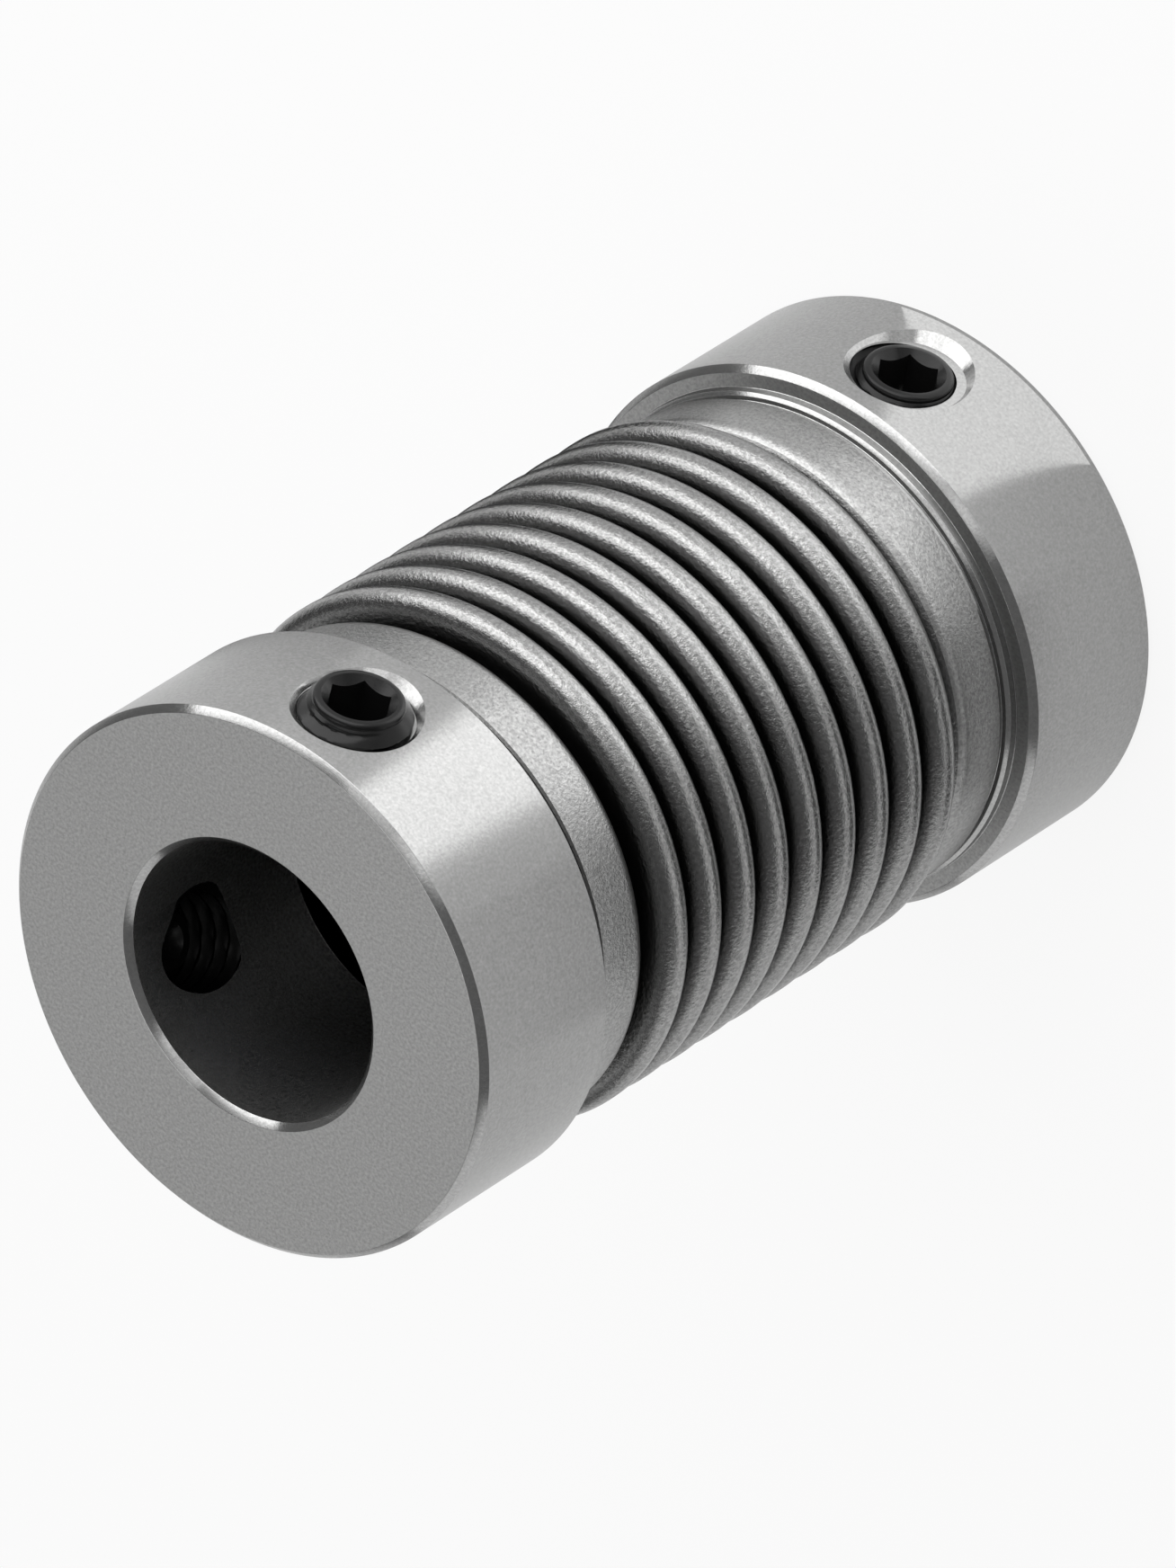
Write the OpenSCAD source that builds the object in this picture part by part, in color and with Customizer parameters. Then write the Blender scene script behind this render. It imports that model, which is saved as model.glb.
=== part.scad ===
// Miniature metal bellows coupling with set screws
//
// Two turned hubs are joined by one thin-walled bellows. Each hub grips its shaft
// with two socket set screws that stand some way apart around the flange.
// The coupling stands on the end face of its lower hub, with the shaft axis on Z.
// The front screws point along -Y.

/* [Hubs] */
// Outside diameter of the flange
hub_d = 25; // [24:0.5:30]
// Length of the flange
flange_l = 8.4; // [7.4:0.1:14]
// Chamfer on the two outer edges of the flange
flange_chamfer = 0.3; // [0.1:0.1:0.8]
// Bore for the shaft
bore_d = 12.7; // [6:0.1:15]
// Chamfer at both ends of the bore
bore_chamfer = 0.3; // [0.1:0.05:0.8]

/* [Spigots] */
// Diameter of the spigot that carries the bellows
spigot_d = 22.4; // [21:0.1:23]
// Height of the register that stands up from the spigot at the flange
register_h = 0.35; // [0.2:0.05:0.5]
// Length of the register
register_l = 0.55; // [0.4:0.05:1.5]
// Chamfer on the edge of the register
register_chamfer = 0.15; // [0.05:0.05:0.3]
// Bare length of spigot between the register and the end of the bellows
bare_l = 0.45; // [0.2:0.05:2]
// How far the spigot stops short of the end of the cuff's straight wall
spigot_short = 0.4; // [0.1:0.1:0.8]
// Lead-in chamfer at the end of the spigot
spigot_lead = 0.3; // [0.1:0.1:0.8]

/* [Bellows] */
// Number of convolutions
conv_n = 9; // [4:1:14]
// Distance from one crest to the next
pitch = 2.3; // [1.8:0.05:2.8]
// Clear width of the groove between two convolutions
groove_w = 0.6; // [0.3:0.05:0.8]
// Diameter over the crests
crest_d = 24.3; // [23:0.1:27]
// Diameter at the bottom of the grooves
root_d = 18; // [16:0.1:18.8]
// Thickness of the wall
wall = 0.2; // [0.1:0.05:0.3]
// Straight wall of the cuff at each end
cuff_l = 2.1; // [1.5:0.1:5]
// Thickness of the bond between cuff and spigot
bond = 0.02; // [0.01:0.01:0.05]

/* [Set screws] */
// Thread diameter
screw_d = 5; // [4:0.5:6]
// Length over all
screw_l = 5; // [4:0.5:6]
// Distance from the end face of the hub to the screw's axis
screw_inset = 4.2; // [3.8:0.1:4.4]
// Angle between the two screws of a hub
screw_angle = 120; // [60:5:180]
// How far the upper hub's screws stand out of the flange
upper_out = 0.5; // [-1:0.1:1]
// How far the lower hub's screws stand out of the flange
lower_out = -0.2; // [-1:0.1:1]
// Chamfer at the socket end
screw_chamfer = 0.45; // [0.2:0.05:0.6]
// Width of the hexagon socket across its flats
socket_w = 2.5; // [2:0.1:2.6]
// Depth of the socket's flats
socket_depth = 2.2; // [1:0.1:2.4]
// Countersink at the mouth of the socket
socket_chamfer = 0.15; // [0.05:0.05:0.25]
// Diameter of the rim of the cup point
cup_d = 2.5; // [1.5:0.1:3]
// Clearance between a screw and its tapped hole
thread_gap = 0.03; // [0.01:0.01:0.1]
// Countersink at the mouth of each tapped hole
mouth_chamfer = 0.5; // [0.1:0.1:0.8]
// How far the socket of the upper front screw is turned
upper_front_turn = 30; // [0:5:55]
// How far the socket of the upper side screw is turned
upper_side_turn = 35; // [0:5:55]
// How far the socket of the lower front screw is turned
lower_front_turn = 35; // [0:5:55]
// How far the socket of the lower side screw is turned
lower_side_turn = 20; // [0:5:55]

/* [Hidden] */

// The crest and root bends of the wall, to its outer and inner faces.
// At a crest the outer face has the large radius, at a root it has the small one.
crest_out_r = (pitch - groove_w) / 2;
crest_in_r = crest_out_r - wall;
root_out_r = groove_w / 2;
root_in_r = root_out_r + wall;

// Where the bends have their centres, as distances from the axis
cuff_r = spigot_d / 2 + bond + wall;
crest_centre_r = crest_d / 2 - crest_out_r;
root_centre_r = root_d / 2 + root_out_r;
shoulder_centre_r = cuff_r - crest_out_r;

// Lengths along the axis
seat_l = cuff_l - spigot_short;
hub_l = flange_l + register_l + bare_l + seat_l;
shoulder_l = crest_out_r + root_out_r;
bellows_l = 2 * (cuff_l + shoulder_l) + conv_n * pitch;
overall_l = 2 * (flange_l + register_l + bare_l) + bellows_l;

hub_colour = [0.70, 0.70, 0.69];
bellows_colour = [0.60, 0.60, 0.59];
screw_colour = [0.07, 0.07, 0.07];

front = -90;
side = front + screw_angle;
cut = 1;
$fn = 128;
// Facets of the small bends in the wall of the bellows
bend_fn = 48;

// Half section of a hub, from its end face at 0 up to the end of its spigot
module hub_section() {
    flange_r = hub_d / 2;
    spigot_r = spigot_d / 2;
    register_r = spigot_r + register_h;
    register_end = flange_l + register_l;
    bore_r = bore_d / 2;
    polygon([
        [bore_r + bore_chamfer, 0],
        [flange_r - flange_chamfer, 0],
        [flange_r, flange_chamfer],
        [flange_r, flange_l - flange_chamfer],
        [flange_r - flange_chamfer, flange_l],
        [register_r, flange_l],
        [register_r, register_end - register_chamfer],
        [register_r - register_chamfer, register_end],
        [spigot_r, register_end],
        [spigot_r, hub_l - spigot_lead],
        [spigot_r - spigot_lead, hub_l],
        [bore_r + bore_chamfer, hub_l],
        [bore_r, hub_l - bore_chamfer],
        [bore_r, bore_chamfer]
    ]);
}

// Puts a screw, or the hole for one, on the flange at an angle.
// The child points outwards along its own +Z, with 0 on the flange's surface.
module on_flange(angle) {
    rotate([0, 0, angle])
        translate([hub_d / 2, 0, screw_inset])
            rotate([0, 90, 0])
                children();
}

// Tapped hole through the wall of the hub, with its countersunk mouth
module tapped_hole() {
    hole_r = screw_d / 2 + thread_gap;
    wall_l = (hub_d - bore_d) / 2;
    translate([0, 0, -wall_l - cut])
        cylinder(r = hole_r, h = wall_l + 2 * cut);
    translate([0, 0, -mouth_chamfer])
        cylinder(r1 = hole_r, r2 = hole_r + mouth_chamfer + cut, h = mouth_chamfer + cut);
}

module hub() {
    color(hub_colour)
        difference() {
            rotate_extrude() hub_section();
            for (angle = [front, side]) on_flange(angle) tapped_hole();
        }
}

// Part of a ring between two radii: the half of it that lies on the outer side of
// its centre for a crest, or on the inner side for a root
module bend(outer_r, inner_r, outward) {
    intersection() {
        difference() {
            circle(r = outer_r);
            circle(r = inner_r);
        }
        translate([outward ? 0 : -outer_r, -outer_r])
            square([outer_r, 2 * outer_r]);
    }
}

// Straight flank of a convolution, with its groove face at the given height
module flank(from_r, to_r, height) {
    translate([from_r, height])
        square([to_r - from_r, wall]);
}

// Cuff with its rounded shoulder and the flank below that, from the cuff's end at 0
module cuff_section() {
    translate([cuff_r - wall, 0])
        square([wall, cuff_l]);
    translate([shoulder_centre_r, cuff_l])
        intersection() {
            bend(crest_out_r, crest_in_r, true);
            square(crest_out_r);
        }
    flank(root_centre_r, shoulder_centre_r, cuff_l + crest_in_r);
}

// Half section of the whole bellows, from the end of its lower cuff at 0
module bellows_section() {
    first_root = cuff_l + shoulder_l;
    cuff_section();
    translate([0, bellows_l])
        mirror([0, 1])
            cuff_section();
    for (i = [0 : conv_n])
        translate([root_centre_r, first_root + i * pitch])
            bend(root_in_r, root_out_r, false);
    for (i = [0 : conv_n - 1]) {
        crest = first_root + (i + 0.5) * pitch;
        translate([crest_centre_r, crest])
            bend(crest_out_r, crest_in_r, true);
        flank(root_centre_r, crest_centre_r, crest - crest_out_r);
        flank(root_centre_r, crest_centre_r, crest + crest_in_r);
    }
}

module lower_hub() {
    hub();
}

module upper_hub() {
    translate([0, 0, overall_l])
        mirror([0, 0, 1])
            hub();
}

module bellows() {
    color(bellows_colour)
        translate([0, 0, flange_l + register_l + bare_l])
            rotate_extrude()
                bellows_section($fn = bend_fn);
}

// Set screw with a cup point, from the point's rim at 0 up to its socket end
module set_screw() {
    screw_r = screw_d / 2;
    cup_r = cup_d / 2;
    corner_r = socket_w / 2 / cos(30);
    socket_floor = screw_l - socket_depth;
    drill_cone = socket_w / 2 * tan(30);
    color(screw_colour)
        difference() {
            rotate_extrude()
                polygon([
                    [0, cup_r * tan(30)],
                    [cup_r, 0],
                    [screw_r, screw_r - cup_r],
                    [screw_r, screw_l - screw_chamfer],
                    [screw_r - screw_chamfer, screw_l],
                    [0, screw_l]
                ]);
            translate([0, 0, socket_floor])
                cylinder(r = corner_r, h = socket_depth + cut, $fn = 6);
            translate([0, 0, socket_floor - drill_cone])
                cylinder(r1 = 0, r2 = socket_w / 2, h = drill_cone);
            translate([0, 0, screw_l - corner_r - socket_chamfer])
                cylinder(r1 = 0, r2 = corner_r + socket_chamfer + cut, h = corner_r + socket_chamfer + cut);
        }
}

// One screw in its tapped hole. turn is how far its socket is turned.
module seated_screw(angle, out, turn) {
    on_flange(angle)
        translate([0, 0, out - screw_l])
            rotate([0, 0, turn])
                set_screw();
}

module lower_front_screw() {
    seated_screw(front, lower_out, lower_front_turn);
}

module lower_side_screw() {
    seated_screw(side, lower_out, lower_side_turn);
}

module upper_front_screw() {
    translate([0, 0, overall_l])
        mirror([0, 0, 1])
            seated_screw(front, upper_out, upper_front_turn);
}

module upper_side_screw() {
    translate([0, 0, overall_l])
        mirror([0, 0, 1])
            seated_screw(side, upper_out, upper_side_turn);
}

lower_hub();
upper_hub();
bellows();
lower_front_screw();
lower_side_screw();
upper_front_screw();
upper_side_screw();
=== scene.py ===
import math

import bpy
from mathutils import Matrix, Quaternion, Vector


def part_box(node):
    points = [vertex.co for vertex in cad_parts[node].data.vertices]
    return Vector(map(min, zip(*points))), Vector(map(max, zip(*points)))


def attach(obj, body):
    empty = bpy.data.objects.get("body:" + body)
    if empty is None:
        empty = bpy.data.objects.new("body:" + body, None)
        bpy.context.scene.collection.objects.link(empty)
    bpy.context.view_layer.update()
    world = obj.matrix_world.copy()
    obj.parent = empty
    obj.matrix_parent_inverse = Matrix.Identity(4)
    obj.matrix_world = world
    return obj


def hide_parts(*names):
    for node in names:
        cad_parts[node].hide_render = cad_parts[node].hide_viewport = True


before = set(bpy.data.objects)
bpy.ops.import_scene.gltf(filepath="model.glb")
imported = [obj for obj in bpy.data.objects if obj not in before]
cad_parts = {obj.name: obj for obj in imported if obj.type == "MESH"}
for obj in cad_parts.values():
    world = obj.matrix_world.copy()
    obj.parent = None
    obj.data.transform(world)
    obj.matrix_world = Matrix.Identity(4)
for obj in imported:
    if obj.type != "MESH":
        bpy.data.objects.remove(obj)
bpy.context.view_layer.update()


# Hubs
# Each hub is turned from one bar of light metal, with a flange for the set screws, a low
# register behind it and a spigot that carries the bellows. The tool leaves fine rings on
# its walls, its end faces are dull, and two holes are tapped through the flange.
MM = 0.001
hub_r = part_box("lower_hub")[1].x
hub_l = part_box("lower_hub")[1].z
overall_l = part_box("upper_hub")[1].z
flange_l = 8.4 * MM
flange_chamfer = 0.3 * MM
bore_r = 6.35 * MM
bore_chamfer = 0.3 * MM
spigot_r = 11.2 * MM
register_r = 11.55 * MM
register_end = flange_l + 0.55 * MM
register_chamfer = 0.15 * MM
spigot_lead = 0.3 * MM
hub_edge_r = 0.04 * MM
hub_edge_steps = 3
hub_segments = 256
screw_inset = 4.2 * MM
front_angle = math.radians(-90)
side_angle = math.radians(30)
thread_r = 2.5 * MM
thread_pitch = 0.8 * MM
thread_depth = 0.42 * MM
thread_land = 0.15
thread_gap = 0.03 * MM
tap_rows = 132
tap_segments = 64
mouth_chamfer = 0.5 * MM
mouth_segments = 96
bore_skin = 0.05 * MM
level = 0.98
upright = 0.3
seam = 0.05e-6

# How far each cutter reaches past the surface that it opens
over = 1 * MM


def add(tree, kind, feeds=None, **settings):
    """Adds a node with these settings. feeds joins or sets its inputs, by name or by number."""
    made = tree.nodes.new(kind)
    for name, value in settings.items():
        setattr(made, name, value)
    for name, value in (feeds or {}).items():
        socket = made.inputs[name]
        for one in value if isinstance(value, list) else [value]:
            if isinstance(one, Field):
                one = one.socket
            if isinstance(one, bpy.types.NodeSocket):
                tree.links.new(one, socket)
            else:
                socket.default_value = one
    return made


class Field:
    """A number that varies over a mesh or a surface. Arithmetic on it adds Math nodes."""

    def __init__(self, tree, socket):
        self.tree = tree
        self.socket = socket

    def math(self, operation, *others):
        feeds = dict(enumerate((self, *others)))
        return Field(self.tree, add(self.tree, "ShaderNodeMath", feeds, operation=operation).outputs[0])

    def __add__(self, other):
        return self.math("ADD", other)

    def __sub__(self, other):
        return self.math("SUBTRACT", other)

    def __mul__(self, other):
        return self.math("MULTIPLY", other)

    def __truediv__(self, other):
        return self.math("DIVIDE", other)

    def __lt__(self, other):
        return self.math("LESS_THAN", other)

    def __gt__(self, other):
        return self.math("GREATER_THAN", other)


def parts_of(tree, vector):
    """The x, y and z of a vector, as fields."""
    return [Field(tree, s) for s in add(tree, "ShaderNodeSeparateXYZ", {0: vector}).outputs]


def vector_of(tree, x, y, z):
    return add(tree, "ShaderNodeCombineXYZ", {0: x, 1: y, 2: z}).outputs[0]


def new_group(name, inputs, outputs, kind="GeometryNodeTree"):
    """Starts a node group. inputs and outputs give each socket's name with its type."""
    group = bpy.data.node_groups.new(name, kind)
    for in_out, sockets in (("INPUT", inputs), ("OUTPUT", outputs)):
        for socket, socket_type in sockets.items():
            kind_name = "NodeSocket" + socket_type
            group.interface.new_socket(name=socket, in_out=in_out, socket_type=kind_name)
    given = group.nodes.new("NodeGroupInput").outputs
    result = group.nodes.new("NodeGroupOutput").inputs
    return group, given, result


def grid_of(tree, rows, turns):
    """A grid that is to be wrapped round the axis, with each point's row and its angle."""
    sheet = add(tree, "GeometryNodeMeshGrid", {"Vertices X": rows, "Vertices Y": turns + 1})
    index = Field(tree, add(tree, "GeometryNodeInputIndex").outputs[0])
    row = ((index + 0.5) / (turns + 1)).math("FLOOR")
    angle = (row * (turns + 1) - index) / turns * math.tau
    return sheet.outputs["Mesh"], row, angle


def merged(tree, geometry):
    """Joins points that lie closer together than the seam."""
    feeds = {"Geometry": geometry, "Distance": seam}
    return add(tree, "GeometryNodeMergeByDistance", feeds).outputs[0]


def wrap(tree, sheet, radius, angle, height):
    """Wraps the grid into a round solid and closes its seam."""
    place = vector_of(tree, radius * angle.math("COSINE"), radius * angle.math("SINE"), height)
    round_ = add(tree, "GeometryNodeSetPosition", {"Geometry": sheet, "Position": place})
    return merged(tree, round_.outputs[0])


def crisp(tree, geometry, least_angle=30):
    """Merges doubles, then shades smooth with every edge above this angle left sharp."""
    smooth = add(tree, "GeometryNodeSetShadeSmooth", {"Geometry": merged(tree, geometry)})
    bend = Field(tree, add(tree, "GeometryNodeInputMeshEdgeAngle").outputs[0])
    sharp = bend > math.radians(least_angle)
    feeds = {"Geometry": smooth.outputs[0], "Selection": sharp, "Shade Smooth": False}
    return add(tree, "GeometryNodeSetShadeSmooth", feeds, domain="EDGE").outputs[0]


turned_inputs = {"Section": "Geometry", "Segments": "Int"}
turned, given, result = new_group("turned", turned_inputs, {"Solid": "Geometry"})
section_size = add(turned, "GeometryNodeAttributeDomainSize", {0: given["Section"]})
section_points = section_size.outputs["Point Count"]
segments = Field(turned, given["Segments"])
sheet, row, angle = grid_of(turned, section_points, segments)
place = add(turned, "GeometryNodeInputPosition").outputs[0]
sample = add(turned, "GeometryNodeSampleIndex", data_type="FLOAT_VECTOR")
for name, feed in (("Geometry", given["Section"]), ("Value", place), ("Index", row.socket)):
    turned.links.new(feed, sample.inputs[name])
radius, _, height = parts_of(turned, sample.outputs[0])
turned.links.new(wrap(turned, sheet, radius, angle, height), result["Solid"])

rod_sizes = {"Radius": "Float", "Thread depth": "Float", "Pitch": "Float", "Lower end": "Float",
             "Upper end": "Float", "Lower radius": "Float", "Upper radius": "Float", "Collar": "Float",
             "Rim": "Float", "Rows": "Int", "Segments": "Int"}
threaded_rod, given, result = new_group("threaded rod", rod_sizes, {"Solid": "Geometry"})
size = {name: Field(threaded_rod, given[name]) for name in rod_sizes}
sheet, row, angle = grid_of(threaded_rod, size["Rows"], size["Segments"])
last_row = size["Rows"] - 1
share = (row - 1).math("MAXIMUM", 0).math("MINIMUM", size["Rows"] - 3) / (size["Rows"] - 3)
height = size["Lower end"] + share * (size["Upper end"] - size["Lower end"])
flank = ((height / size["Pitch"] - angle / math.tau).math("FRACT") - 0.5).math("ABSOLUTE") * 2
ridge = ((flank - thread_land) / (1 - 2 * thread_land)).math("MAXIMUM", 0).math("MINIMUM", 1)
thread = size["Radius"] - size["Thread depth"] * ((ridge * -1) + 1)
above = height - size["Lower end"]
below = size["Upper end"] - height
rim = size["Rim"]
inside_rim = (rim - below).math("MAXIMUM", 0)
rounding = (rim * rim - inside_rim * inside_rim).math("SQRT") - rim
upper_limit = size["Upper radius"] + rounding + (below - size["Collar"]).math("MAXIMUM", 0)
lower_limit = size["Lower radius"] + above
radius = thread.math("MINIMUM", upper_limit).math("MINIMUM", lower_limit)
radius = radius * (row > 0.5) * (row < last_row - 0.5)
threaded_rod.links.new(wrap(threaded_rod, sheet, radius, angle, height), result["Solid"])

hub_inputs = {"Section": "Geometry", "Edge radius": "Float", "Segments": "Int", "Hole height": "Float",
              "Front angle": "Float", "Side angle": "Float", "Wall": "Material", "Face": "Material",
              "Bore": "Material", "Thread": "Material"}
tapped_hub, given, result = new_group("tapped hub", hub_inputs, {"Solid": "Geometry"})
wire = add(tapped_hub, "GeometryNodeMeshToCurve", {0: given["Section"]})
rounded = add(tapped_hub, "GeometryNodeFilletCurve", {
    "Curve": wire.outputs[0], "Count": hub_edge_steps, "Radius": given["Edge radius"],
}, mode="POLY")
outline = add(tapped_hub, "GeometryNodeCurveToMesh", {"Curve": rounded.outputs[0]})
bar = add(tapped_hub, "GeometryNodeGroup", node_tree=turned)
tapped_hub.links.new(outline.outputs[0], bar.inputs["Section"])
tapped_hub.links.new(given["Segments"], bar.inputs["Segments"])
x, y, _ = parts_of(tapped_hub, add(tapped_hub, "GeometryNodeInputPosition").outputs[0])
from_axis = (x * x + y * y).math("SQRT")
normal = add(tapped_hub, "GeometryNodeInputNormal").outputs[0]
normal_up = parts_of(tapped_hub, normal)[2].math("ABSOLUTE")
on_end = normal_up > level
in_bore = (from_axis < bore_r + bore_skin) * (normal_up < upright)
solid = bar
for finish, where in (("Wall", True), ("Face", on_end), ("Bore", in_bore)):
    solid = add(tapped_hub, "GeometryNodeSetMaterial", {
        "Geometry": solid.outputs[0], "Selection": where, "Material": given[finish]})
tap = add(tapped_hub, "GeometryNodeGroup", {
    "Radius": thread_r + thread_gap, "Thread depth": thread_depth, "Pitch": thread_pitch,
    "Lower end": bore_r - hub_r - 2 * over, "Upper end": over, "Lower radius": hub_r,
    "Upper radius": hub_r, "Collar": hub_r, "Rim": 0.0, "Rows": tap_rows, "Segments": tap_segments,
}, node_tree=threaded_rod)
sink_l = mouth_chamfer + over
sink = add(tapped_hub, "GeometryNodeMeshCone", {
    "Vertices": mouth_segments, "Radius Bottom": thread_r + thread_gap,
    "Radius Top": thread_r + thread_gap + sink_l, "Depth": sink_l,
})
sunk = add(tapped_hub, "GeometryNodeTransform", {
    "Geometry": sink.outputs["Mesh"], "Translation": (0, 0, -mouth_chamfer)})
cutters = []
for cutter, finish in ((tap, "Thread"), (sunk, "Wall")):
    for angle_name in ("Front angle", "Side angle"):
        angle = Field(tapped_hub, given[angle_name])
        turn = add(tapped_hub, "FunctionNodeEulerToRotation",
                   {0: vector_of(tapped_hub, 0, math.radians(90), angle)}).outputs[0]
        across_x = angle.math("COSINE") * hub_r
        across_y = angle.math("SINE") * hub_r
        spot = vector_of(tapped_hub, across_x, across_y, given["Hole height"])
        placed = add(tapped_hub, "GeometryNodeTransform",
                     {"Geometry": cutter.outputs[0], "Translation": spot, "Rotation": turn})
        cutters.append(add(tapped_hub, "GeometryNodeSetMaterial",
                           {"Geometry": placed.outputs[0], "Material": given[finish]}).outputs[0])
drilled = add(tapped_hub, "GeometryNodeMeshBoolean", {0: solid.outputs[0], 1: cutters},
              operation="DIFFERENCE", solver="MANIFOLD")
tapped_hub.links.new(crisp(tapped_hub, drilled.outputs[0]), result["Solid"])


def noise_of(tree, feeds):
    return Field(tree, add(tree, "ShaderNodeTexNoise", feeds).outputs[0])


def new_skin():
    """Metal as a tool or a press leaves it: a fine grain, rings round the axis and slow patches, with
    painted shade that darkens the colour below the crests into the grooves.
    """
    inputs = {"Colour": "Color"}
    for name in ("Roughness", "Grain", "Grain shade", "Grain depth", "Rings", "Ring shade",
                 "Ring depth", "Patch shade", "Painted groove shade", "Full painted shade radius", "Painted shade start radius"):
        inputs[name] = "Float"
    outputs = {"Colour": "Color", "Roughness": "Float", "Height": "Float"}
    skin, given, result = new_group("metal skin", inputs, outputs, "ShaderNodeTree")
    size = {name: Field(skin, given[name]) for name in inputs}
    place = add(skin, "ShaderNodeTexCoord").outputs["Object"]
    x, y, z = parts_of(skin, place)
    from_axis = (x * x + y * y).math("SQRT")
    ring_wander = 60
    ring_place = vector_of(skin, x * ring_wander, y * ring_wander, (z + from_axis) * size["Rings"])
    rings = noise_of(skin, {"Vector": ring_place, "Scale": 1.0, "Detail": 3.0})
    grain = noise_of(skin, {"Vector": place, "Scale": size["Grain"], "Detail": 3.0, "Roughness": 0.65})
    patches = noise_of(skin, {"Vector": place, "Scale": 240.0, "Detail": 2.0})
    shade = ((grain - 0.5) * size["Grain shade"] + (rings - 0.5) * size["Ring shade"]
             + (patches - 0.5) * size["Patch shade"])
    # Painted shade: the colour darkens from the start radius below the crest down to the full radius,
    # where shade falls between the crests.
    painted_groove_shade = (size["Painted shade start radius"] - from_axis) / (size["Painted shade start radius"] - size["Full painted shade radius"])
    painted_groove_shade = painted_groove_shade.math("MAXIMUM", 0).math("MINIMUM", 1) * size["Painted groove shade"]
    tint = add(skin, "ShaderNodeVectorMath", {0: given["Colour"]}, operation="SCALE")
    skin.links.new(((shade + 1) * (painted_groove_shade * -1 + 1)).socket, tint.inputs["Scale"])
    skin.links.new(tint.outputs[0], result["Colour"])
    shine = 0.6
    skin.links.new((size["Roughness"] * (shade * -shine + 1)).socket, result["Roughness"])
    height = grain * size["Grain depth"] + rings * size["Ring depth"]
    skin.links.new(height.socket, result["Height"])
    return skin


metal_skin = new_skin()
quarter_turn = 0.25


def new_metal(name, sizes, anisotropic=0.0, metallic=1.0, relief=0.02 * MM, specular=0.5):
    """A metal with the skin that these sizes give it."""
    material = bpy.data.materials.new(name)
    material.use_nodes = True
    tree = material.node_tree
    shader = tree.nodes["Principled BSDF"]
    shader.inputs["Metallic"].default_value = metallic
    shader.inputs["Specular IOR Level"].default_value = specular
    shader.inputs["Anisotropic"].default_value = anisotropic
    shader.inputs["Anisotropic Rotation"].default_value = quarter_turn
    skin = add(tree, "ShaderNodeGroup", sizes, node_tree=metal_skin)
    bump = add(tree, "ShaderNodeBump", {"Height": skin.outputs["Height"], "Distance": relief})
    tree.links.new(skin.outputs["Colour"], shader.inputs["Base Color"])
    tree.links.new(skin.outputs["Roughness"], shader.inputs["Roughness"])
    tree.links.new(bump.outputs["Normal"], shader.inputs["Normal"])
    return material


hub_wall = new_metal("hub turned wall", {
    "Colour": (0.385, 0.385, 0.382, 1), "Roughness": 0.21,
    "Grain": 7000.0, "Grain shade": 0.65, "Grain depth": 0.15,
    "Rings": 5200.0, "Ring shade": 0.06, "Ring depth": 0.06, "Patch shade": 0.05,
}, anisotropic=0.8)
hub_face = new_metal("hub faced end", {
    "Colour": (0.335, 0.335, 0.332, 1), "Roughness": 0.42,
    "Grain": 7000.0, "Grain shade": 0.9, "Grain depth": 0.5,
    "Rings": 4200.0, "Ring shade": 0.02, "Ring depth": 0.01, "Patch shade": 0.03,
})
hub_bore = new_metal("hub bore", {
    "Colour": (0.43, 0.43, 0.427, 1), "Roughness": 0.40,
    "Grain": 6000.0, "Grain shade": 2.4, "Grain depth": 0.3,
    "Rings": 3600.0, "Ring shade": 0.15, "Ring depth": 0.05, "Patch shade": 0.2,
})
# Painted shade: the tapped thread is coloured near black for the dark inside of the holes, not the
# light metal of the hub.
shaded_hub_thread = new_metal("hub tapped thread painted dark", {
    "Colour": (0.015, 0.015, 0.015, 1), "Roughness": 0.4,
    "Grain": 7000.0, "Grain shade": 0.2, "Grain depth": 0.2,
    "Rings": 3600.0, "Ring shade": 0.0, "Ring depth": 0.0, "Patch shade": 0.1,
})


def new_wire(name, points):
    """A wire through these points, each its distance from the axis and its height."""
    mesh = bpy.data.meshes.new(name)
    mesh.from_pydata([(r, 0, z) for r, z in points], [(i, i + 1) for i in range(len(points) - 1)], [])
    wire = bpy.data.objects.new(name, mesh)
    bpy.context.scene.collection.objects.link(wire)
    return wire


def shape(piece, tree, sizes, sharp_normals=True):
    """Shapes a piece with a tree of nodes and keeps the result as its plain mesh."""
    nodes = piece.modifiers.new("shape", "NODES")
    nodes.node_group = tree
    for socket in tree.interface.items_tree:
        if socket.name in sizes:
            nodes[socket.identifier] = sizes[socket.name]
    if sharp_normals:
        flat = piece.modifiers.new("flat faces stay flat", "WEIGHTED_NORMAL")
        flat.keep_sharp = True
    graph = bpy.context.evaluated_depsgraph_get()
    mesh = bpy.data.meshes.new_from_object(piece.evaluated_get(graph))
    piece.modifiers.clear()
    piece.data = mesh
    return piece


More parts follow.
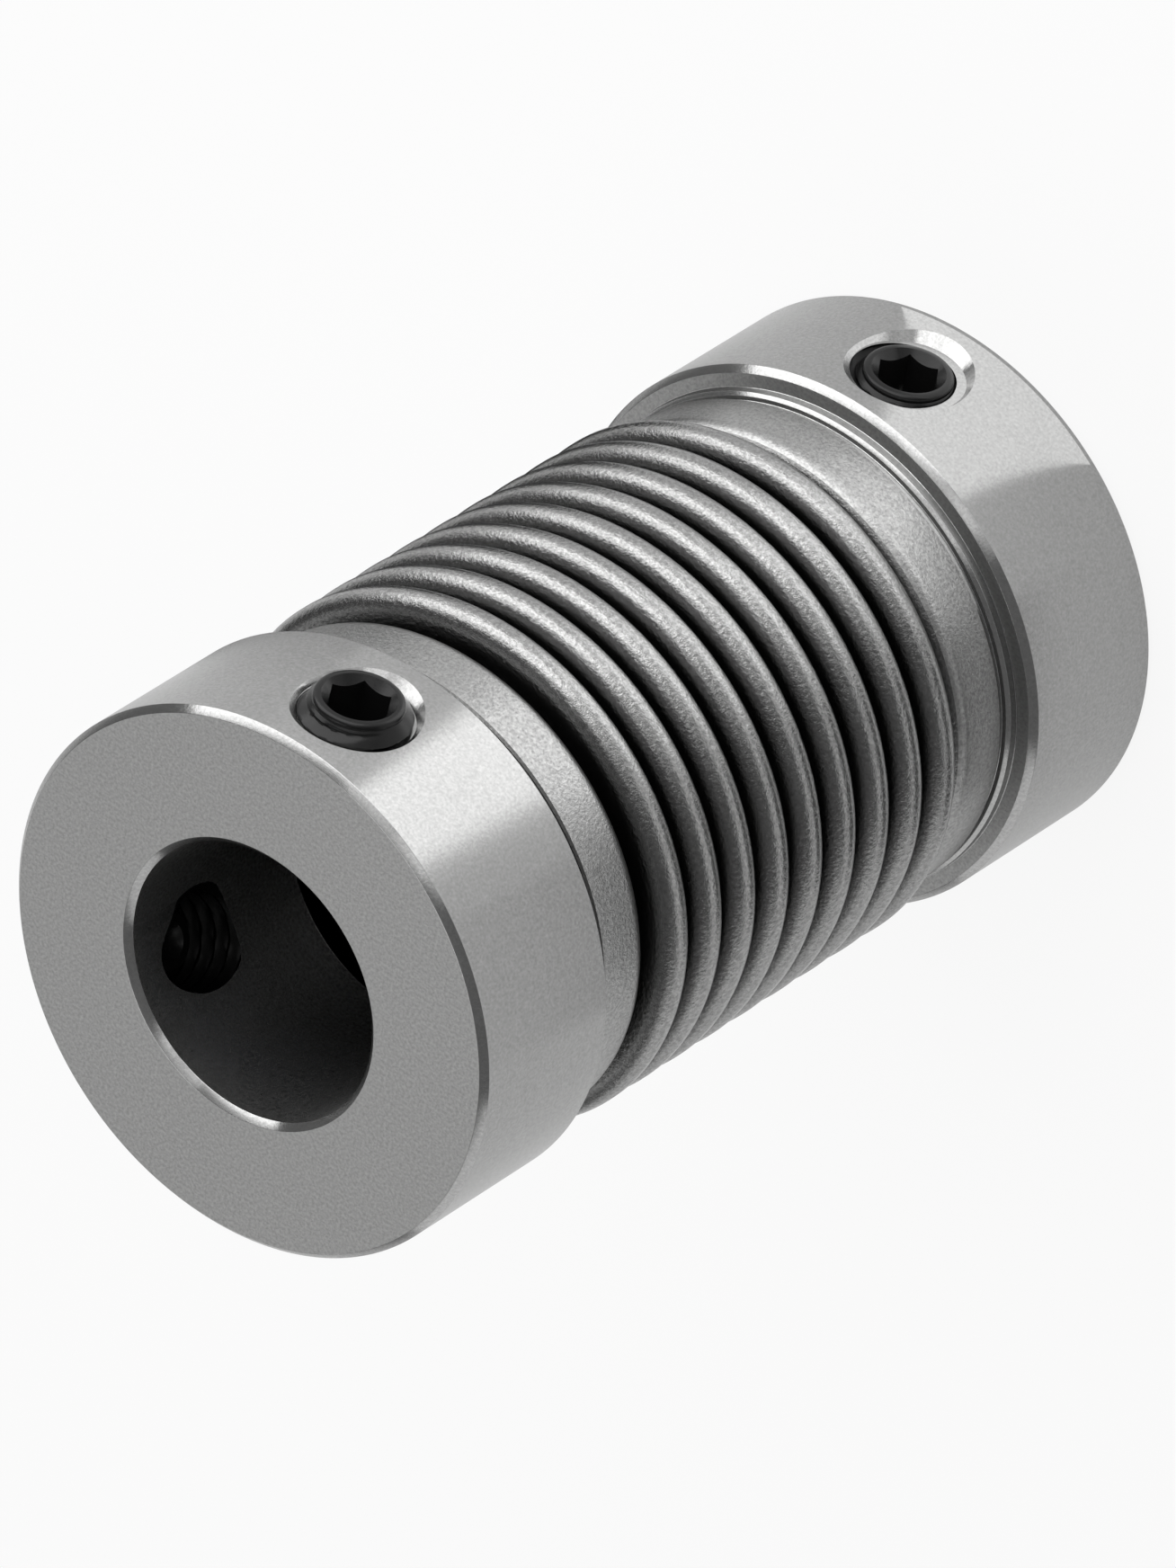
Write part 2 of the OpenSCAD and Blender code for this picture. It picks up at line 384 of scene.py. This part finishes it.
hub_section = [
    (bore_r, hub_l / 2),
    (bore_r, bore_chamfer),
    (bore_r + bore_chamfer, 0),
    (hub_r - flange_chamfer, 0),
    (hub_r, flange_chamfer),
    (hub_r, flange_l - flange_chamfer),
    (hub_r - flange_chamfer, flange_l),
    (register_r, flange_l),
    (register_r, register_end - register_chamfer),
    (register_r - register_chamfer, register_end),
    (spigot_r, register_end),
    (spigot_r, hub_l - spigot_lead),
    (spigot_r - spigot_lead, hub_l),
    (bore_r + bore_chamfer, hub_l),
    (bore_r, hub_l - bore_chamfer),
    (bore_r, hub_l / 2),
]
hub_sections = {
    "lower_hub": (hub_section, screw_inset),
    "upper_hub": (
        [(r, overall_l - z) for r, z in reversed(hub_section)],
        overall_l - screw_inset,
    ),
}
for node, (section, hole_height) in hub_sections.items():
    hub = shape(new_wire(node + "_turned", section), tapped_hub, {
        "Edge radius": hub_edge_r, "Segments": hub_segments, "Hole height": hole_height,
        "Front angle": front_angle, "Side angle": side_angle, "Wall": hub_wall, "Face": hub_face,
        "Bore": hub_bore, "Thread": shaded_hub_thread,
    })
    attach(hub, "root")
    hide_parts(node)


# Bellows
# One thin tube of stainless steel, formed into nine convolutions with a plain cuff at
# each end. The cuffs are pressed over the spigots of the hubs and bonded there. Its wall
# is a chain of arcs: a quarter arc at each shoulder, with roots and crests by turns between.
conv_n = 9
pitch = 2.3 * MM
groove_w = 0.6 * MM
crest_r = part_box("bellows")[1].x
root_r = 9 * MM
bellows_wall = 0.2 * MM
bond = 0.02 * MM
cuff_r = spigot_r + bond + bellows_wall
cuff_l = 2.1 * MM
bellows_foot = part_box("bellows")[0].z
crest_bend = (pitch - groove_w) / 2
root_bend = groove_w / 2
bend_steps = 10
bellows_segments = 192
matt_share = 0.6
# How far below the crests the painted groove shade starts, and where it is full
painted_shade_start_below_crest = 0.03 * MM
full_painted_shade_below_crest = 0.34 * MM

bellows_inputs = {"Wire": "Geometry", "Convolutions": "Int", "Bend steps": "Int", "Segments": "Int"}
for name in ("Pitch", "Wall", "Foot", "Cuff length", "Shoulder centre", "Crest centre",
             "Root centre", "Crest bend", "Root bend"):
    bellows_inputs[name] = "Float"
bellows_inputs["Metal"] = "Material"
bellows_inputs["Cuff metal"] = "Material"
formed_tube, given, result = new_group("formed tube", bellows_inputs, {"Solid": "Geometry"})
size = {name: Field(formed_tube, given[name]) for name in bellows_inputs}
arcs = size["Convolutions"] * 2 + 3
face_points = arcs * size["Bend steps"] + 2
line = add(formed_tube, "GeometryNodeMeshLine", {"Count": face_points * 2 + 1})
index = Field(formed_tube, add(formed_tube, "GeometryNodeInputIndex").outputs[0])
wrapped = index.math("MODULO", face_points * 2)
inner = wrapped > face_points - 0.5
along = wrapped + inner * (face_points * 2 - 1 - wrapped * 2)
point = (along - 1).math("MAXIMUM", 0).math("MINIMUM", face_points - 3)
arc = ((point + 0.5) / size["Bend steps"]).math("FLOOR")
step = point - arc * size["Bend steps"]
at_foot = arc < 0.5
at_head = arc > arcs - 1.5
at_end = at_foot + at_head
is_root = arc.math("MODULO", 2) > 0.5
is_crest = is_root < 0.5
half_arc = (step / (size["Bend steps"] - 1) - 0.5) * math.pi
sweep = half_arc * (at_end * -0.5 + 1) + (at_foot - at_head) * (math.pi / 4)
crest_centre = size["Crest centre"] + at_end * (size["Shoulder centre"] - size["Crest centre"])
centre = is_root * size["Root centre"] + is_crest * crest_centre
skin_wall = inner * size["Wall"]
bend = is_root * (size["Root bend"] + skin_wall) + is_crest * (size["Crest bend"] - skin_wall)
radius = centre + (is_crest - is_root) * bend * sweep.math("COSINE")
cuff_end = (along > face_points - 1.5) - (along < 0.5)
tube_l = (size["Cuff length"] * 2 + size["Crest bend"] * 2 + size["Root bend"] * 2
          + size["Convolutions"] * size["Pitch"])
height = (size["Foot"] + size["Cuff length"] * (cuff_end + 1) + arc * size["Pitch"] / 2
          + bend * sweep.math("SINE"))
profile = add(formed_tube, "GeometryNodeSetPosition",
              {"Geometry": line.outputs[0], "Position": vector_of(formed_tube, radius, 0, height)})
tube = add(formed_tube, "GeometryNodeGroup", node_tree=turned)
formed_tube.links.new(profile.outputs[0], tube.inputs["Section"])
formed_tube.links.new(given["Segments"], tube.inputs["Segments"])
metal = add(formed_tube, "GeometryNodeSetMaterial", {
    "Geometry": tube.outputs[0], "Material": given["Metal"]})
z = parts_of(formed_tube, add(formed_tube, "GeometryNodeInputPosition").outputs[0])[2]
from_end = (z - size["Foot"]).math("MINIMUM", size["Foot"] + tube_l - z)
on_cuff = from_end < size["Cuff length"] + size["Crest bend"] * matt_share
matt = add(formed_tube, "GeometryNodeSetMaterial", {
    "Geometry": metal.outputs[0], "Selection": on_cuff, "Material": given["Cuff metal"]})
formed_tube.links.new(crisp(formed_tube, matt.outputs[0], least_angle=40), result["Solid"])

bellows_metal = new_metal("bellows formed steel", {
    "Colour": (0.32, 0.32, 0.317, 1), "Roughness": 0.22,
    "Grain": 6000.0, "Grain shade": 1.5, "Grain depth": 1.0,
    "Rings": 2600.0, "Ring shade": 0.05, "Ring depth": 0.02, "Patch shade": 0.06,
    # Painted shade darkens the grooves between the crests
    "Painted groove shade": 0.42, "Full painted shade radius": crest_r - full_painted_shade_below_crest,
    "Painted shade start radius": crest_r - painted_shade_start_below_crest,
}, relief=0.036 * MM)
cuff_metal = new_metal("bellows matt cuff", {
    "Colour": (0.36, 0.36, 0.357, 1), "Roughness": 0.34,
    "Grain": 6500.0, "Grain shade": 1.4, "Grain depth": 1.0,
    "Rings": 2600.0, "Ring shade": 0.02, "Ring depth": 0.02, "Patch shade": 0.3,
}, relief=0.03 * MM)
bellows = shape(new_wire("bellows_tube", [(cuff_r, 0), (cuff_r, cuff_l)]), formed_tube, {
    "Convolutions": conv_n, "Pitch": pitch, "Wall": bellows_wall, "Foot": bellows_foot,
    "Cuff length": cuff_l, "Shoulder centre": cuff_r - crest_bend, "Crest centre": crest_r - crest_bend,
    "Root centre": root_r + root_bend, "Crest bend": crest_bend, "Root bend": root_bend,
    "Bend steps": bend_steps, "Segments": bellows_segments, "Metal": bellows_metal,
    "Cuff metal": cuff_metal,
}, sharp_normals=False)
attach(bellows, "root")
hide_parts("bellows")


# Set screws
# Four hardened set screws with a hexagon socket and a cup point, black from the oxide
# bath. Their thread starts below a low collar round the socket. The upper pair stands a
# little out of the flange, and the lower pair is a little sunk.
screw_l = 5 * MM
upper_out = 0.5 * MM
lower_out = -0.2 * MM
collar_r = 1.98 * MM
collar_l = 0.3 * MM
collar_rim = 0.22 * MM
cup_r = 1.25 * MM
cup_cutter_r = cup_r + 0.2 * MM
cup_cutter_out = 0.5 * MM
socket_w = 2.5 * MM
socket_depth = 2.2 * MM
socket_sink = 0.18 * MM
socket_corner_r = socket_w / 2 / math.cos(math.radians(30))
socket_mouth_r = socket_corner_r + socket_sink + over
drill_l = socket_w / 2 * math.tan(math.radians(30))
screw_rows = 120
screw_segments = 96
cone_segments = 48

screw_inputs = {"Wire": "Geometry", "Out": "Float", "Turn": "Float", "Angle": "Float",
                "Height": "Float", "Metal": "Material"}
set_screw, given, result = new_group("set screw", screw_inputs, {"Solid": "Geometry"})
out = Field(set_screw, given["Out"])
rod = add(set_screw, "GeometryNodeGroup", {
    "Radius": thread_r, "Thread depth": thread_depth, "Pitch": thread_pitch,
    "Lower end": out - screw_l, "Upper end": out, "Lower radius": cup_r, "Upper radius": collar_r,
    "Collar": collar_l, "Rim": collar_rim, "Rows": screw_rows, "Segments": screw_segments,
}, node_tree=threaded_rod)
hexagon = add(set_screw, "GeometryNodeMeshCylinder", {
    "Vertices": 6, "Radius": socket_corner_r, "Depth": socket_depth + over})
drill = add(set_screw, "GeometryNodeMeshCone", {
    "Vertices": cone_segments, "Radius Bottom": 0.0, "Radius Top": socket_w / 2, "Depth": drill_l})
mouth = add(set_screw, "GeometryNodeMeshCone", {
    "Vertices": mouth_segments, "Radius Bottom": 0.0, "Radius Top": socket_mouth_r,
    "Depth": socket_mouth_r})
cup = add(set_screw, "GeometryNodeMeshCone", {
    "Vertices": cone_segments, "Radius Bottom": cup_cutter_r, "Radius Top": 0.0, "Depth": cup_r})
cutter_heights = (
    (hexagon, (over - socket_depth) / 2),
    (drill, -socket_depth - drill_l),
    (mouth, -socket_corner_r - socket_sink),
    (cup, -screw_l - cup_cutter_out),
)
socket_turn = add(set_screw, "FunctionNodeEulerToRotation",
                  {0: vector_of(set_screw, 0, 0, given["Turn"])}).outputs[0]
cutters = []
for cutter, height in cutter_heights:
    placed = add(set_screw, "GeometryNodeTransform", {
        "Geometry": cutter.outputs["Mesh"], "Translation": vector_of(set_screw, 0, 0, out + height),
        "Rotation": socket_turn})
    cutters.append(placed.outputs[0])
bored = add(set_screw, "GeometryNodeMeshBoolean", {0: rod.outputs[0], 1: cutters},
            operation="DIFFERENCE", solver="MANIFOLD")
angle = Field(set_screw, given["Angle"])
across_x = angle.math("COSINE") * hub_r
across_y = angle.math("SINE") * hub_r
spot = vector_of(set_screw, across_x, across_y, given["Height"])
turn = add(set_screw, "FunctionNodeEulerToRotation",
           {0: vector_of(set_screw, 0, math.radians(90), angle)}).outputs[0]
placed = add(set_screw, "GeometryNodeTransform",
             {"Geometry": bored.outputs[0], "Translation": spot, "Rotation": turn})
metal = add(set_screw, "GeometryNodeSetMaterial", {
    "Geometry": placed.outputs[0], "Material": given["Metal"]})
set_screw.links.new(crisp(set_screw, metal.outputs[0], least_angle=35), result["Solid"])

screw_black = new_metal("screw black oxide", {
    "Colour": (0.008, 0.008, 0.008, 1), "Roughness": 0.26,
    "Grain": 9000.0, "Grain shade": 0.3, "Grain depth": 0.2,
    "Rings": 3000.0, "Ring shade": 0.0, "Ring depth": 0.0, "Patch shade": 0.2,
}, metallic=0.2, specular=0.3)
screws = {
    "lower_front_screw": (front_angle, lower_out, screw_inset, 35),
    "lower_side_screw": (side_angle, lower_out, screw_inset, 20),
    "upper_front_screw": (front_angle, upper_out, overall_l - screw_inset, 30),
    "upper_side_screw": (side_angle, upper_out, overall_l - screw_inset, 35),
}
for node, (angle, out, height, turn) in screws.items():
    screw = shape(new_wire(node + "_threaded", [(0, 0), (0, screw_l)]), set_screw, {
        "Out": out, "Turn": math.radians(turn), "Angle": angle, "Height": height, "Metal": screw_black})
    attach(screw, "root")
    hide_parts(node)


# Floor, light and camera
# The coupling stands on a plain pale floor under soft studio lamps. Two lit cards lie round its foot,
# and two dark sheets of painted shade lie beside it for shade on the floor; only its metal shows them.
# The camera looks down at it from the front left, rolled so that the shaft axis runs up to the right.
floor_half = 3.0
paper_shade = 0.88
seen_white = 0.88
mirrored_white = 0.45
studio_shade = 0.20
floor_mesh = bpy.data.meshes.new("floor")
corners = [(-floor_half, -floor_half, 0), (floor_half, -floor_half, 0), (floor_half, floor_half, 0),
           (-floor_half, floor_half, 0)]
floor_mesh.from_pydata(corners, [], [(0, 1, 2, 3)])
floor = bpy.data.objects.new("floor", floor_mesh)
bpy.context.scene.collection.objects.link(floor)
floor_paper = bpy.data.materials.new("floor paper")
floor_paper.use_nodes = True
tree = floor_paper.node_tree
paper = tree.nodes["Principled BSDF"]
paper.inputs["Base Color"].default_value = (paper_shade, paper_shade, paper_shade, 1)
paper.inputs["Roughness"].default_value = 0.9
paper.inputs["Specular IOR Level"].default_value = 0.0
glow = add(tree, "ShaderNodeEmission", {"Color": (1, 1, 1, 1), "Strength": 1.0})
rays = add(tree, "ShaderNodeLightPath")
by_camera = Field(tree, rays.outputs["Is Camera Ray"])
by_mirror = Field(tree, rays.outputs["Is Glossy Ray"])
seen = by_camera * seen_white + by_mirror * mirrored_white
blend = add(tree, "ShaderNodeMixShader", {0: seen, 1: paper.outputs[0], 2: glow.outputs[0]})
tree.links.new(blend.outputs[0], tree.nodes["Material Output"].inputs["Surface"])
floor_mesh.materials.append(floor_paper)

world = bpy.data.worlds.new("studio")
bpy.context.scene.world = world
world.use_nodes = True
sky = world.node_tree.nodes["Background"]
sky.inputs["Color"].default_value = (studio_shade, studio_shade, studio_shade, 1)
sky.inputs["Strength"].default_value = 1.0


def direction(azimuth, elevation):
    """The way from the coupling to a place in the studio. Azimuth 0 is the -Y side."""
    a = math.radians(azimuth)
    e = math.radians(elevation)
    return Vector((math.sin(a) * math.cos(e), -math.cos(a) * math.cos(e), math.sin(e)))


def place_light(name, width, depth, brightness):
    """A rectangular lamp that the camera doesn't see. The brightness is that of its face."""
    light = bpy.data.lights.new(name, "AREA")
    light.shape = "RECTANGLE"
    light.size = width
    light.size_y = depth
    light.energy = brightness * math.pi * width * depth
    holder = bpy.data.objects.new(name, light)
    holder.visible_camera = False
    bpy.context.scene.collection.objects.link(holder)
    return holder


middle = Vector((0, 0, overall_l / 2))

# Azimuth and elevation in degrees, distance, width and depth in metres, and brightness
lamps = {
    "key panel": (25, 17, 0.229, 0.37, 0.18, 2.9),
    "fill panel": (-33, 25, 0.30, 0.12, 0.25, 0.60),
    "high panel": (-14, 46, 0.50, 0.30, 0.16, 0.90),
    "back panel": (144, 43, 0.70, 0.75, 0.70, 0.6),
    "left panel": (-146, 14, 0.35, 0.31, 0.22, 0.80),
    "top panel": (144, 82, 0.60, 0.36, 0.36, 1.8),
}
for name, (azimuth, elevation, distance, width, depth, brightness) in lamps.items():
    lamp = place_light(name, width, depth, brightness)
    way = direction(azimuth, elevation)
    lamp.location = middle + way * distance
    lamp.rotation_euler = (-way).to_track_quat("-Z", "Y").to_euler()

card_height = 0.5 * MM

# Azimuth in degrees, reach from the shaft axis, width and depth in millimetres, and brightness
cards = {
    "bounce card": (-16, 58, 36, 64, 1.3),
    "near bounce card": (-11, 16.5, 11, 15, 0.8),
}
for name, (azimuth, reach, width, depth, brightness) in cards.items():
    card = place_light(name, width * MM, depth * MM, brightness)
    card.location = direction(azimuth, 0) * reach * MM + Vector((0, 0, card_height))
    card.rotation_euler = (math.pi, 0, math.radians(azimuth))

# Painted shade: dark sheets that only reflections see, standing in for shade on the floor beside the
# foot
painted_shade_cloth = bpy.data.materials.new("painted shade cloth")
painted_shade_cloth.use_nodes = True
painted_shade_surface = painted_shade_cloth.node_tree.nodes["Principled BSDF"]
painted_shade_surface.inputs["Base Color"].default_value = (0.07, 0.07, 0.07, 1)
painted_shade_surface.inputs["Roughness"].default_value = 1.0
painted_shade_surface.inputs["Specular IOR Level"].default_value = 0.0
painted_shade_height = 0.4 * MM
painted_shade_steps = 24

# First and last azimuth in degrees, inner and outer reach in millimetres
painted_shade_sheets = {
    "right painted shade sheet": (-58, -118, 22, 45),
    "left painted shade sheet": (54, 165, 20, 46),
}
for name, (first, last, inner_reach, outer_reach) in painted_shade_sheets.items():
    points = []
    for step in range(painted_shade_steps + 1):
        azimuth = first + (last - first) * step / painted_shade_steps
        for reach in (inner_reach, outer_reach):
            points.append(direction(azimuth, 0) * reach * MM + Vector((0, 0, painted_shade_height)))
    faces = [(i, i + 1, i + 3, i + 2) for i in range(0, 2 * painted_shade_steps, 2)]
    painted_shade_mesh = bpy.data.meshes.new(name)
    painted_shade_mesh.from_pydata(points, [], faces)
    painted_shade_mesh.materials.append(painted_shade_cloth)
    painted_shade_sheet = bpy.data.objects.new(name, painted_shade_mesh)
    painted_shade_sheet.visible_camera = False
    painted_shade_sheet.visible_diffuse = False
    painted_shade_sheet.visible_shadow = False
    bpy.context.scene.collection.objects.link(painted_shade_sheet)

aim = Vector((-0.37 * MM, 0.26 * MM, 23.5 * MM))
camera_distance = 864.3 * MM
camera_azimuth = -35.66
camera_elevation = 43.39
camera_roll = 122.13
sensor_width = 36
focal_length = 470.67
camera_data = bpy.data.cameras.new("camera")
camera_data.sensor_width = sensor_width
camera_data.lens = focal_length
camera = bpy.data.objects.new("camera", camera_data)
back = direction(camera_azimuth, camera_elevation)
camera.location = aim + back * camera_distance
camera.rotation_mode = "QUATERNION"
roll = Quaternion((0, 0, 1), math.radians(-camera_roll))
camera.rotation_quaternion = (-back).to_track_quat("-Z", "Y") @ roll
bpy.context.scene.collection.objects.link(camera)
bpy.context.scene.camera = camera

bpy.context.scene.view_settings.view_transform = "Standard"
